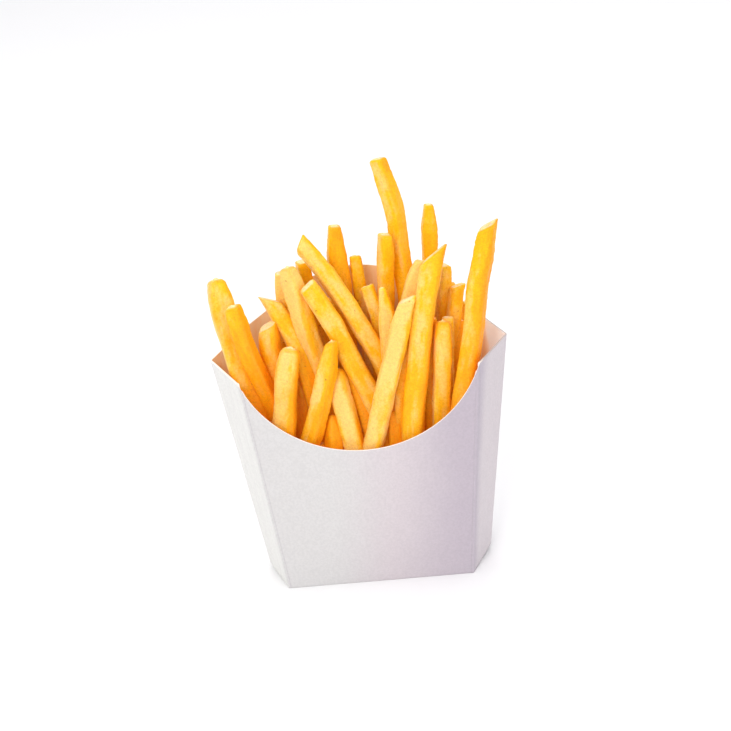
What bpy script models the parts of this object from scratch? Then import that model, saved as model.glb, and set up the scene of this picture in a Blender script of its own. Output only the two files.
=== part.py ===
"""French fries standing in an open paperboard carton: two solids, the carton and the heap of fries.

The carton is one folded sheet of board with a scooped front, an arched back and two sharp side folds.
The heap is a plain core inside the carton with every fry that shows fused onto it.
Lengths are in millimetres and are turned to metres as each mesh is made. +Z is up, the front faces -Y,
and the origin is the middle of the base.
"""

import math
import random

import bmesh
import bpy
from mathutils import Vector

MM = 0.001

# Board and panels of the carton
BOARD = 0.6
BASE_HALF_WIDTH = 34.7
BASE_HALF_DEPTH = 17.0
CREASE_TOP_HALF_WIDTH = 42.6
CREASE_TOP_HALF_DEPTH = 20.0
CREASE_TOP = 87.0
BACK_CREASE_TOP = 91.0
FOLD_BOTTOM_HALF_WIDTH = 42.4
FOLD_BOTTOM = 2.0
FOLD_TOP_HALF_WIDTH = 54.0
FOLD_TOP = 88.6

# Curved top edges: the scoop is one arc, the arch two straight shoulders with an arc between them
SCOOP_LOW = 56.4
SCOOP_STEPS = 22
ARCH_TOP = 112.5
ARCH_RADIUS = 38.0
ARCH_SHOULDER_ANGLE = math.radians(31.5)
ARCH_STEPS = 14

# Core of the heap: a body with straight sides under a low cap that draws in
CORE_CLEARANCE = 1.6
CORE_FOLD_CLEARANCE = 3.8
CORE_BOTTOM = 1.2
CORE_FOLD_BOTTOM = 4.2
CORE_FRONT_TOP = 46.0
CORE_BACK_TOP = 54.0
CORE_LEVELS = 3
CORE_CAP_RISE = 3.0
CORE_CAP_SHARE = 0.62

# Section and length of a fry
CORNER_CUT = 0.22
FRY_RINGS = 5

# How a fry ends: share of the full section at the tip, then the slant of the cut across and front to back
ENDS = {
    "square": (0.94, 0, -0.15),
    "round": (0.7, 0, -0.1),
    "blunt": (0.84, -0.12, -0.1),
    "narrowed": (0.58, -0.1, 0),
    "point": (0.34, 0, 0),
    "wedge": (0.54, 0.4, 0),
    "hook": (0.86, 0.12, 0),
    "pale_cut": (0.92, 0.55, 0.15),
    "left": (0.92, -0.6, -0.15),
    "right": (0.9, 0.6, -0.1),
    "rounded_right": (0.78, 0.75, 0.15),
    "right_long": (0.82, 0.9, 0.1),
    "right_steep": (0.96, 1.25, -0.1),
    "left_long": (0.8, -1.3, 0),
    "front": (0.86, 0.2, -0.1),
}

# Every fry that shows: tip, a point half way along, foot, width, thickness, turn in degrees, end.
# The front row leans on the scoop, and each row behind it stands about a fry's thickness further back.
FRIES = {
    "left_hook": ((-41.8, -12, 114), (-36.8, -10, 88), (-26.5, -4, 48), 6.6, 5.6, -20, "hook"),
    "front_short": ((-23.3, -12, 96), (-28.4, -13, 70), (-31.5, -12.5, 44), 8.2, 7.2, -12, "round"),
    "front_bent": ((-8.6, -12, 97.2), (-16, -13.3, 70.5), (-27, -12.5, 44), 6.8, 6, -34, "wedge"),
    "narrow_pink": ((-21, -1, 80), (-20.5, -1, 66), (-20, -1, 46), 5.4, 5.6, 0, "square"),
    "long_lower": ((-15, -8, 117.5), (-1.6, -5, 84), (9.5, -7, 48), 7.6, 6.8, 14, "front"),
    "front_low": ((-9, -7, 84), (-6.3, -11, 66), (-3, -13, 44), 7.4, 6.6, -12, "round"),
    "rim_end": ((-11, -9, 66), (-12, -12, 57), (-13, -12, 44), 5.8, 6, 30, "square"),
    "front_bright": ((19.4, -11, 110.2), (9.4, -13.7, 78.5), (-1, -12.5, 44), 7.2, 6.6, -16, "rounded_right"),
    "right_slant": ((30.2, -6, 124.5), (22.1, -11, 90), (15.5, -12.8, 44), 8, 6.8, -10, "right_steep"),
    "right_upright": ((31.2, -8, 99.5), (29, -10.3, 75), (25.5, -11.2, 44), 6.4, 5.8, 12, "round"),
    "right_tall": ((49.6, -8, 134), (41.7, -10.7, 97), (32, -12, 48), 7.2, 6, -24, "right_long"),
    "shade_low_right": ((11, -8, 66), (10.5, -10, 58), (10, -11, 46), 5, 5.2, 10, "round"),
    "left_lean": ((-37, 1, 70), (-33, -1, 60), (-29, -3, 46), 6, 6.6, 10, "square"),
    "left_outer": ((-47.4, -3, 121), (-42.6, -7, 86), (-35.5, -8.5, 46), 8.8, 6.8, 15, "round"),
    "left_pale_cut": ((-31.2, -3, 101.5), (-29.4, -4, 80), (-24, -4, 46), 7.4, 6.8, -15, "pale_cut"),
    "left_diagonal": ((-29.8, 2.5, 109.2), (-20.4, -4.2, 87), (-14, -6, 48), 6.8, 6, 20, "left_long"),
    "two_faced": ((-21.8, -2, 122.8), (-16, -4, 90), (-9.5, -2, 46), 7.2, 6.6, -38, "round"),
    "long_diagonal": ((-16.6, 3, 129.5), (4.7, -2, 91), (15, -3, 50), 6.6, 6, 28, "right"),
    "behind_slant": ((26, -1, 120), (17, -3, 91), (17, -6, 48), 6.2, 6.2, 0, "round"),
    "behind_bright": ((21.5, -5.5, 105), (16, -8, 80), (11, -9, 46), 5.6, 5.6, 0, "round"),
    "between_right": ((26.5, -4, 99), (25.8, -5, 78), (22.5, -6, 46), 6, 5.6, 0, "square"),
    "pale_tip": ((33.2, -3, 98.5), (31.6, -4, 78), (28.5, -5, 48), 4.6, 5.6, 0, "square"),
    "back_right_near": ((37.6, 4, 107.5), (33.4, 3, 88), (27, 2, 50), 5.2, 5.8, 20, "right"),
    "right_shaded": ((37, 5, 93.5), (35, 3, 74), (32, 2, 48), 5.2, 6, 0, "square"),
    "pointed": ((10.9, -5, 113), (11.8, -4.6, 82), (10.5, -6, 50), 6.6, 5.8, 0, "point"),
    "low_point": ((5.3, 5, 110), (8.5, 4, 90), (11, 5, 52), 5, 5.2, 0, "square"),
    "shade_centre": ((-4.5, -1.5, 91), (-0.5, -4.5, 71), (4, -8, 46), 6.6, 6.2, 0, "square"),
    "shade_left": ((-24, 1.5, 78), (-23, -2, 66), (-22, -4, 46), 5.6, 6, 0, "square"),
    "behind_two_faced": ((-24.6, 6, 117.5), (-25.4, 8, 88), (-21, 11, 48), 5.2, 6, 0, "square"),
    "small_back_left": ((-17, 8, 120.5), (-14, 11, 88), (-9, 13, 48), 5, 6, 20, "square"),
    "back_right_far": ((42, 9.5, 99), (36.5, 9, 80), (28, 9, 52), 5.4, 5.8, 0, "right"),
    "tallest": ((13.4, 12, 155), (19, 10.3, 112), (16, 9, 50), 6.4, 5.6, -30, "blunt"),
    "centre_upright": ((13.6, 5, 129.2), (11.2, 8, 96), (8, 12.5, 50), 5.8, 5.4, 20, "blunt"),
    "thin_pale": ((1.7, 14, 118.5), (3, 12, 95), (3, 11, 50), 5, 5, 0, "blunt"),
    "back_upright": ((-4.2, 10, 132.2), (-4.4, 10.4, 98), (-4, 9.5, 50), 7.2, 6.2, 15, "narrowed"),
    "back_tapered": ((29.9, 14, 135.5), (28, 14, 105), (23, 13, 50), 5.6, 5, 10, "narrowed"),
    "back_right_tip": ((33.2, 5, 115.5), (30.5, 6.5, 90), (25, 8, 50), 5.4, 5.6, 35, "blunt"),
    "back_far_right": ((35, 15.5, 104), (34.5, 15.5, 84), (31, 15, 50), 5.4, 5.2, 0, "round"),
    "back_far_left": ((-29, 13, 83), (-27, 14, 66), (-25, 13.5, 50), 6.8, 6.6, 15, "square"),
    "back_left": ((-21, 15, 97), (-22, 14.3, 74), (-21, 13.3, 50), 6.6, 6.4, -20, "right"),
    "back_centre_left": ((-11, 15.3, 103), (-13, 14.3, 76), (-13, 13.3, 50), 6.6, 6.2, 30, "round"),
    "back_centre_right": ((10, 15.5, 99), (9, 14.6, 76), (10, 13.6, 50), 6, 6, 0, "left"),
    "back_right": ((23.5, 15.3, 101), (22, 14.3, 76), (20, 13.3, 50), 6.6, 6.4, -15, "square"),
}

# Low fries that fill the mouth between the tall ones: their grid, how much narrower it gets towards the
# front and back, the height of their tops, how far below its top a fry is tested against the others,
# and the share of the two fries' mean width that their middles keep apart
FILL_STEP = 3.9
FILL_HALF_SPAN = 42.6
FILL_SPAN_LOSS = 0.53
FILL_FRONT = -11.0
FILL_BACK = 13.4
FILL_TOP_FRONT = 57.0
FILL_TOP_BACK = 67.0
FILL_TEST_DEPTH = 6.0
FILL_KEEP_OFF = 0.84
FILL_FOOT = 38.0
FILL_FOOT_SHARE = 0.86
FILL_SEED = 7

# How far the seeded draw may move, lengthen, size, lean and turn a low fry
FILL_NUDGE_ACROSS = 1.5
FILL_NUDGE_DEEP = 0.8
FILL_TOP_DRAW = (-4.0, 6.0)
FILL_SIZE_DRAW = (6.2, 7.8)
FILL_LEAN = 2.0
FILL_TURN = 45.0
FILL_THICKNESS_SHARE = 0.94


def straight_half(low, high, z, z_low=0.0, z_high=CREASE_TOP):
    """Half-width or half-depth of a straight crease at the height z."""
    return low + (high - low) * (z - z_low) / (z_high - z_low)


def crease_point(side, face, z):
    """Point of the crease between the front (face -1) or back (face 1) panel and its side strip."""
    return Vector((
        side * straight_half(BASE_HALF_WIDTH, CREASE_TOP_HALF_WIDTH, z),
        face * straight_half(BASE_HALF_DEPTH, CREASE_TOP_HALF_DEPTH, z),
        z,
    ))


def fold_point(side, z):
    """Point of the sharp outer side fold at the height z."""
    half = straight_half(FOLD_BOTTOM_HALF_WIDTH, FOLD_TOP_HALF_WIDTH, z, FOLD_BOTTOM, FOLD_TOP)
    return Vector((side * half, 0.0, z))


def panel_point(x, face, z):
    """Point of the flat front or back panel at x and z."""
    return Vector((x, face * straight_half(BASE_HALF_DEPTH, CREASE_TOP_HALF_DEPTH, z), z))


def scoop_edge():
    """Top edge of the front from left to right, without its ends: an arc through the two crease tops."""
    sag = CREASE_TOP - SCOOP_LOW
    radius = (CREASE_TOP_HALF_WIDTH ** 2 + sag ** 2) / (2 * sag)
    reach = math.asin(CREASE_TOP_HALF_WIDTH / radius)
    points = []
    for step in range(1, SCOOP_STEPS):
        angle = reach * (2 * step / SCOOP_STEPS - 1)
        z = SCOOP_LOW + radius * (1 - math.cos(angle))
        points.append(panel_point(radius * math.sin(angle), -1, z))
    return points


def arch_edge():
    """Top edge of the back from left to right, without its ends: an arc between two straight shoulders."""
    points = []
    for step in range(ARCH_STEPS + 1):
        angle = ARCH_SHOULDER_ANGLE * (2 * step / ARCH_STEPS - 1)
        z = ARCH_TOP - ARCH_RADIUS * (1 - math.cos(angle))
        points.append(panel_point(ARCH_RADIUS * math.sin(angle), 1, z))
    return points


def new_object(name, mesh, colour, roughness):
    """An object with its own material, linked to the scene."""
    material = bpy.data.materials.new(name)
    material.use_nodes = True
    shader = material.node_tree.nodes["Principled BSDF"]
    shader.inputs["Base Color"].default_value = (*colour, 1.0)
    shader.inputs["Roughness"].default_value = roughness
    shader.inputs["Metallic"].default_value = 0.0
    mesh.materials.append(material)
    made = bpy.data.objects.new(name, mesh)
    bpy.context.scene.collection.objects.link(made)
    return made


def mesh_from(name, bm):
    """A mesh in metres from a bmesh in millimetres, with its faces turned outwards."""
    bmesh.ops.recalc_face_normals(bm, faces=bm.faces)
    bmesh.ops.scale(bm, vec=(MM, MM, MM), verts=bm.verts)
    mesh = bpy.data.meshes.new(name)
    bm.to_mesh(mesh)
    bm.free()
    return mesh


def carton():
    """The folded board: panels that share their creases, thickened inwards to the board's thickness."""
    bm = bmesh.new()
    low = {(s, f): bm.verts.new(crease_point(s, f, 0.0)) for s in (-1, 1) for f in (-1, 1)}
    fold_low = {s: bm.verts.new(fold_point(s, FOLD_BOTTOM)) for s in (-1, 1)}
    fold_high = {s: bm.verts.new(fold_point(s, FOLD_TOP)) for s in (-1, 1)}
    tops = {-1: CREASE_TOP, 1: BACK_CREASE_TOP}
    high = {(s, f): bm.verts.new(crease_point(s, f, tops[f])) for s in (-1, 1) for f in (-1, 1)}
    edges = {-1: scoop_edge(), 1: arch_edge()}

    for face, edge in edges.items():
        top = [high[-1, face]] + [bm.verts.new(point) for point in edge] + [high[1, face]]
        bm.faces.new([low[1, face], low[-1, face]] + top)
        for side in (-1, 1):
            bm.faces.new((low[side, face], fold_low[side], fold_high[side], high[side, face]))
    bm.faces.new((low[-1, -1], low[1, -1], low[1, 1], low[-1, 1]))
    for side in (-1, 1):
        bm.faces.new((low[side, -1], fold_low[side], low[side, 1]))

    made = new_object("carton", mesh_from("carton", bm), (0.80, 0.76, 0.79), 0.62)
    wall = made.modifiers.new("board", "SOLIDIFY")
    wall.thickness = BOARD * MM
    wall.offset = -1.0
    wall.use_even_offset = True
    return made


def core_ring(share, cap=False):
    """Eight points round the core at a share of its height, drawn in and lifted for the cap."""
    ring = []
    for side, face in ((-1, -1), (0, -1), (1, -1), (1, 0), (1, 1), (0, 1), (-1, 1), (-1, 0)):
        top = CORE_FRONT_TOP + (CORE_BACK_TOP - CORE_FRONT_TOP) * (face + 1) / 2
        z = CORE_BOTTOM + (top - CORE_BOTTOM) * share
        if face:
            place = crease_point(side, face, z)
            place.x -= side * CORE_CLEARANCE
            place.y -= face * CORE_CLEARANCE
        else:
            place = fold_point(side, max(z, CORE_FOLD_BOTTOM))
            place.x -= side * CORE_FOLD_CLEARANCE
        if cap:
            place.x *= CORE_CAP_SHARE
            place.y *= CORE_CAP_SHARE
            place.z += CORE_CAP_RISE
        ring.append(place)
    return ring


def skin(name, rings):
    """A closed mesh through rings of the same number of points, listed from the bottom up."""
    bm = bmesh.new()
    rows = [[bm.verts.new(place) for place in ring] for ring in rings]
    count = len(rows[0])
    for below, above in zip(rows, rows[1:]):
        for i in range(count):
            j = (i + 1) % count
            bm.faces.new((below[i], below[j], above[j], above[i]))
    bm.faces.new(rows[0][::-1])
    bm.faces.new(rows[-1])
    bmesh.ops.triangulate(bm, faces=bm.faces)
    return mesh_from(name, bm)


def core():
    """The middle of the heap: the carton's own hexagon drawn in by a clearance, with a sloping top."""
    rings = [core_ring(level / CORE_LEVELS) for level in range(CORE_LEVELS + 1)]
    return skin("core", rings + [core_ring(1.0, cap=True)])


def fry(tip, bend, foot, width, thickness, turn, end):
    """A bent square stick with cut corners, along the parabola through its foot, bend and tip."""
    share, slant_across, slant_deep = ENDS[end]
    tip, bend, foot = Vector(tip), Vector(bend), Vector(foot)
    rings = []
    for step in range(FRY_RINGS + 1):
        t = step / FRY_RINGS
        centre = foot * (2 * t * t - 3 * t + 1) + bend * (4 * t - 4 * t * t) + tip * (2 * t * t - t)
        along = (foot * (4 * t - 3) + bend * (4 - 8 * t) + tip * (4 * t - 1)).normalized()
        across = Vector((0.0, 1.0, 0.0)).cross(along).normalized()
        deep = along.cross(across)
        angle = math.radians(turn)
        u = across * math.cos(angle) + deep * math.sin(angle)
        v = deep * math.cos(angle) - across * math.sin(angle)
        scale = share if step == FRY_RINGS else 1.0
        a, b = width / 2 * scale, thickness / 2 * scale
        cut = CORNER_CUT * 2 * min(a, b)
        ring = []
        for x, y in ((a - cut, -b), (a, cut - b), (a, b - cut), (a - cut, b),
                     (cut - a, b), (-a, b - cut), (-a, cut - b), (cut - a, -b)):
            place = centre + u * x + v * y
            if step == FRY_RINGS:
                offset = place - centre
                place += along * (slant_across * offset.dot(across) + slant_deep * offset.dot(deep))
            ring.append(place)
        rings.append(ring)
    return skin("fry", rings)


def middle_at(shape, height):
    """Where a fry's middle line passes the given height, by straight lines through its three points."""
    tip, bend, foot = shape[:3]
    high, low = (tip, bend) if height > bend[2] else (bend, foot)
    share = (height - low[2]) / (high[2] - low[2])
    return low[0] + (high[0] - low[0]) * share, low[1] + (high[1] - low[1]) * share


def fill_fries():
    """Low fries on a grid behind the scoop, nudged by a seeded draw and left out where a fry stands."""
    draw = random.Random(FILL_SEED)
    made = []
    columns = int(2 * FILL_HALF_SPAN / FILL_STEP)
    rows = int((FILL_BACK - FILL_FRONT) / FILL_STEP)
    for row in range(rows + 1):
        for column in range(columns + 1):
            x = column * FILL_STEP - FILL_HALF_SPAN \
                + draw.uniform(-FILL_NUDGE_ACROSS, FILL_NUDGE_ACROSS)
            y = row * FILL_STEP + FILL_FRONT + draw.uniform(-FILL_NUDGE_DEEP, FILL_NUDGE_DEEP)
            rise = (y - FILL_FRONT) / (FILL_BACK - FILL_FRONT)
            top = FILL_TOP_FRONT + (FILL_TOP_BACK - FILL_TOP_FRONT) * rise + draw.uniform(*FILL_TOP_DRAW)
            size = draw.uniform(*FILL_SIZE_DRAW)
            lean = draw.uniform(-FILL_LEAN, FILL_LEAN)
            turn = draw.uniform(-FILL_TURN, FILL_TURN)
            y = min(FILL_BACK, y)
            if abs(x) > FILL_HALF_SPAN - FILL_SPAN_LOSS * abs(y):
                continue
            level = top - FILL_TEST_DEPTH
            tall = [shape for shape in list(FRIES.values()) + made if shape[0][2] > level]
            places = [(middle_at(shape, level), shape[3]) for shape in tall]
            if any(math.dist((x, y), spot) < FILL_KEEP_OFF * (size + width) / 2
                   for spot, width in places):
                continue
            foot = (x * FILL_FOOT_SHARE, y * FILL_FOOT_SHARE, FILL_FOOT)
            tip = (x + lean, y, top)
            bend = tuple((a + b) / 2 for a, b in zip(foot, tip))
            made.append((tip, bend, foot, size, size * FILL_THICKNESS_SHARE, turn, "square"))
    return made


def outer_shell(mesh):
    """Keeps the largest connected shell, which fills sealed hollows and drops loose scraps."""
    bm = bmesh.new()
    bm.from_mesh(mesh)
    unseen = set(bm.verts)
    shells = []
    while unseen:
        shell = {unseen.pop()}
        to_visit = list(shell)
        while to_visit:
            vert = to_visit.pop()
            near = {edge.other_vert(vert) for edge in vert.link_edges} & unseen
            unseen -= near
            shell |= near
            to_visit.extend(near)
        shells.append(shell)
    shells.sort(key=len)
    others = [vert for shell in shells[:-1] for vert in shell]
    bmesh.ops.delete(bm, geom=others, context="VERTS")
    bmesh.ops.triangulate(bm, faces=bm.faces)
    bm.to_mesh(mesh)
    bm.free()


def fries():
    """The heap as one solid: the core with every fry joined on, then the joined pieces taken away."""
    heap = new_object("fries", core(), (0.93, 0.62, 0.16), 0.5)
    pieces = bpy.data.collections.new("fry_pieces")
    bpy.context.scene.collection.children.link(pieces)
    for shape in list(FRIES.values()) + fill_fries():
        pieces.objects.link(bpy.data.objects.new("fry", fry(*shape)))
    join = heap.modifiers.new("join", "BOOLEAN")
    join.operation = "UNION"
    join.operand_type = "COLLECTION"
    join.collection = pieces
    join.solver = "EXACT"
    graph = bpy.context.evaluated_depsgraph_get()
    joined = bpy.data.meshes.new_from_object(heap.evaluated_get(graph))
    heap.modifiers.clear()
    outer_shell(joined)
    heap.data = joined
    for piece in list(pieces.objects):
        bpy.data.objects.remove(piece)
    bpy.data.collections.remove(pieces)
    return heap


def main():
    for old in list(bpy.data.objects):
        bpy.data.objects.remove(old)
    carton()
    fries()


main()
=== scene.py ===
"""French fries standing in an open paperboard carton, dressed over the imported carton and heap.

Every shape is a surface of two parameters, worked out as whole arrays. Lengths are millimetres in the
formulas and metres in the meshes. +Z is up, the front faces -Y and the origin is the middle of the base.
"""

import math
import random

import bpy
import numpy as np
from mathutils import Matrix, Vector


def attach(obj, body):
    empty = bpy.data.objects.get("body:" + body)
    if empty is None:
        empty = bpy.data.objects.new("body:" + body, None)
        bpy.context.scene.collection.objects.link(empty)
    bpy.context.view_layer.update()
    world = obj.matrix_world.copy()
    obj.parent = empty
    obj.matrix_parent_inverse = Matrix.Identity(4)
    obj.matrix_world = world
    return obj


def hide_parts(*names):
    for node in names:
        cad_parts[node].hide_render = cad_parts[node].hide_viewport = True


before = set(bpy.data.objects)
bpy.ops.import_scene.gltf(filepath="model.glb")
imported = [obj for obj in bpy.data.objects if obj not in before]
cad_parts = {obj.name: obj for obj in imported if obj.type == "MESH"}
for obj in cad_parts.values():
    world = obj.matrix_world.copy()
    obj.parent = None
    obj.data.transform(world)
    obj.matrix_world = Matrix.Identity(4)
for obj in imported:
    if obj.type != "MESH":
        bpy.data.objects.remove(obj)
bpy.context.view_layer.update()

MM = 0.001

# The folded carton: base, creases, side folds, scooped front and arched back
BOARD = 0.6
BASE_HALF_WIDTH, BASE_HALF_DEPTH = 34.7, 17.0
CREASE_HALF_WIDTH, CREASE_HALF_DEPTH, CREASE_TOP = 42.6, 20.0, 87.0
BACK_CREASE_TOP = 91.0
FOLD_LOW_WIDTH, FOLD_LOW = 42.4, 2.0
FOLD_HIGH_WIDTH, FOLD_HIGH = 54.0, 88.6
SCOOP_LOW = 56.4
ARCH_TOP, ARCH_RADIUS, ARCH_SHOULDER = 112.5, 38.0, math.radians(31.5)
FRONT_BULGE, BACK_BULGE, STRIP_HOLLOW = 2.2, 1.4, 0.5
BULGE_FULLNESS = 0.8
BOARD_WAVE = (0.07, 38.0)
PRESSED_LINE_AT, PRESSED_LINE_WIDTH, PRESSED_LINE_DEPTH = 0.85, 0.3, 0.13
PRESSED_LINE_RISE = 30
FOLD_INSIDE_GAP = 0.03
LIP_ROUNDING = 0.07
BOARD_SEED = 11

# A fold is softened by averaging the board a little to each side of it: how far, and with what weights
FOLD_SOFTNESS = 0.42
FOLD_WEIGHTS = ((-1, 0.1), (-0.5, 0.25), (0, 0.3), (0.5, 0.25), (1, 0.1))

# Where the board has its points: steps across a panel, beside a crease, up the wall, over the cut edge,
# and rings out under the base and in over the floor
WIDE_PANEL_STEPS, STRIP_STEPS = 84, 18
CREASE_STEPS = np.array([0.22, 0.45, 0.7, 0.95, 1.15, 1.5])
WALL_STEPS = np.concatenate([[0, 0.004, 0.010], np.linspace(0.022, 0.985, 58), [0.9975, 1.0]])
WALL_FOOT = 0.02
LIP_STEPS = np.array([0.06, 0.3, 0.7, 0.94])
UNDER_RINGS, FLOOR_RINGS = (0.15, 0.4, 0.7, 0.93, 0.985, 0.996), (0.985, 0.93, 0.7, 0.4, 0.15)

# How wide the shade along a pressed line is, and how strong and wide the one along a sharp fold
CREASE_SHADE_WIDTH = 0.22
FOLD_SHADE, FOLD_SHADE_WIDTH = 0.5, 0.9

# The core of the heap: the carton's hexagon drawn in, under a low cap with ridges
CORE_CLEARANCE, CORE_FOLD_CLEARANCE = 1.6, 3.8
CORE_BOTTOM, CORE_FOLD_BOTTOM = 1.2, 4.2
CORE_FRONT_TOP, CORE_BACK_TOP = 46.0, 54.0
CORE_CAP_RISE, CORE_CAP_SHARE = 3.0, 0.62
CORE_LEVELS, CORE_CAP_RINGS = 14, (0.94, 0.85, 0.74, CORE_CAP_SHARE, 0.5, 0.36, 0.2, 0.08)
CORE_EDGE_STEPS = 12
CORE_RIDGES, CORE_RIDGE_FLATNESS = (0.9, 7.0), 0.2
# The core's deep gold is painted shade, as it lies deep under the heap
CORE_SHADE_GOLD = 0.9
CORE_SEED = 23

# How a fry ends: share of the section left at the tip, slant across and front to back, rounding of the
# cut's rim, depth of the dish in the cut face (below zero it bulges), and how late the taper comes
ENDS = {
    "square": (0.94, 0.0, -0.15, 0.8, 0.4, 2.0),
    "round": (0.70, 0.0, -0.1, 1.8, -0.6, 2.4),
    "blunt": (0.84, -0.12, -0.1, 1.2, -0.2, 1.6),
    "narrowed": (0.58, -0.1, 0.0, 1.0, -0.3, 1.2),
    "point": (0.34, 0.0, 0.0, 0.8, -0.5, 1.1),
    "wedge": (0.54, 0.4, 0.0, 1.4, -0.5, 1.1),
    "hook": (0.86, 0.12, 0.0, 1.8, -0.5, 2.2),
    "pale_cut": (0.92, 0.55, 0.15, 0.7, 0.3, 2.0),
    "left": (0.92, -0.6, -0.15, 0.7, 0.4, 2.0),
    "right": (0.90, 0.6, -0.1, 0.7, 0.4, 2.0),
    "rounded_right": (0.78, 0.75, 0.15, 1.4, -0.4, 1.6),
    "right_long": (0.82, 0.9, 0.1, 0.8, 0.2, 1.6),
    "right_steep": (0.96, 1.25, -0.1, 1.4, 0.2, 1.6),
    "left_long": (0.80, -1.3, 0.0, 0.7, 0.3, 1.6),
    "front": (0.86, 0.2, -0.1, 1.0, 0.1, 1.8),
}

# Every fry that shows: tip, a point half way along, foot, width, thickness, turn in degrees, end, and how
# deep its gold is, from -1 for pale cream to 1 for amber. The gold is partly each fry's own tone and partly
# painted shade and light: deeper on the fries that stand in shade, paler on some shaded ones
FRONT_ROW = {
    "left_hook": ((-41.8, -12, 114), (-36.8, -10, 88), (-26.5, -4, 48), 6.6, 5.6, -20, "hook", 0.6),
    "front_short": ((-23.3, -12, 96), (-28.4, -13, 70), (-31.5, -12.5, 44), 8.2, 7.2, -12, "round", 0.0),
    "front_bent": ((-8.6, -12, 97.2), (-16, -13.3, 70.5), (-27, -12.5, 44), 6.8, 6.0, -34, "wedge", 0.1),
    "narrow_pink": ((-21, -1, 80), (-20.5, -1, 66), (-20, -1, 46), 5.4, 5.6, 0, "square", -0.1),
    "long_lower": ((-15, -8, 117.5), (-1.6, -5, 84), (9.5, -7, 48), 7.6, 6.8, 14, "front", 0.0),
    "front_low": ((-9, -7, 84), (-6.3, -11, 66), (-3, -13, 44), 7.4, 6.6, -12, "round", -0.3),
    "rim_end": ((-11, -9, 66), (-12, -12, 57), (-13, -12, 44), 5.8, 6.0, 30, "square", 0.5),
    "front_bright": ((19.4, -11, 110.2), (9.4, -13.7, 78.5), (-1, -12.5, 44), 7.2, 6.6, -16,
                     "rounded_right", -0.4),
    "right_slant": ((30.2, -6, 124.5), (22.1, -11, 90), (15.5, -12.8, 44), 8.0, 6.8, -10,
                    "right_steep", 0.4),
    "right_upright": ((31.2, -8, 99.5), (29, -10.3, 75), (25.5, -11.2, 44), 6.4, 5.8, 12, "round", 0.3),
    "right_tall": ((49.6, -8, 134), (41.7, -10.7, 97), (32, -12, 48), 7.2, 6.0, -24, "right_long", 0.75),
    "shade_low_right": ((11, -8, 66), (10.5, -10, 58), (10, -11, 46), 5.0, 5.2, 10, "round", 0.8),
    "left_lean": ((-37, 1, 70), (-33, -1, 60), (-29, -3, 46), 6.0, 6.6, 10, "square", 0.3),
}
MIDDLE_ROW = {
    "left_outer": ((-47.4, -3, 121), (-42.6, -7, 86), (-35.5, -8.5, 46), 8.8, 6.8, 15, "round", -0.3),
    "left_pale_cut": ((-31.2, -3, 101.5), (-29.4, -4, 80), (-24, -4, 46), 7.4, 6.8, -15, "pale_cut", 0.3),
    "left_diagonal": ((-29.8, 2.5, 109.2), (-20.4, -4.2, 87), (-14, -6, 48), 6.8, 6.0, 20, "left_long", 0.1),
    "two_faced": ((-21.8, -2, 122.8), (-16, -4, 90), (-9.5, -2, 46), 7.2, 6.6, -38, "round", -0.35),
    "long_diagonal": ((-16.6, 3, 129.5), (4.7, -2, 91), (15, -3, 50), 6.6, 6.0, 28, "right", 0.1),
    "behind_slant": ((26, -1, 120), (17, -3, 91), (17, -6, 48), 6.2, 6.2, 0, "round", -0.8),
    "behind_bright": ((21.5, -5.5, 105), (16, -8, 80), (11, -9, 46), 5.6, 5.6, 0, "round", 0.4),
    "between_right": ((26.5, -4, 99), (25.8, -5, 78), (22.5, -6, 46), 6.0, 5.6, 0, "square", 0.55),
    "pale_tip": ((33.2, -3, 98.5), (31.6, -4, 78), (28.5, -5, 48), 4.6, 5.6, 0, "square", -0.4),
    "back_right_near": ((37.6, 4, 107.5), (33.4, 3, 88), (27, 2, 50), 5.2, 5.8, 20, "right", 0.35),
    "right_shaded": ((37, 5, 93.5), (35, 3, 74), (32, 2, 48), 5.2, 6.0, 0, "square", 0.6),
    "pointed": ((10.9, -5, 113), (11.8, -4.6, 82), (10.5, -6, 50), 6.6, 5.8, 0, "point", 0.0),
    "low_point": ((5.3, 5, 110), (8.5, 4, 90), (11, 5, 52), 5.0, 5.2, 0, "square", 0.0),
    "shade_centre": ((-4.5, -1.5, 91), (-0.5, -4.5, 71), (4, -8, 46), 6.6, 6.2, 0, "square", 0.7),
    "shade_left": ((-24, 1.5, 78), (-23, -2, 66), (-22, -4, 46), 5.6, 6.0, 0, "square", 0.6),
}
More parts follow.
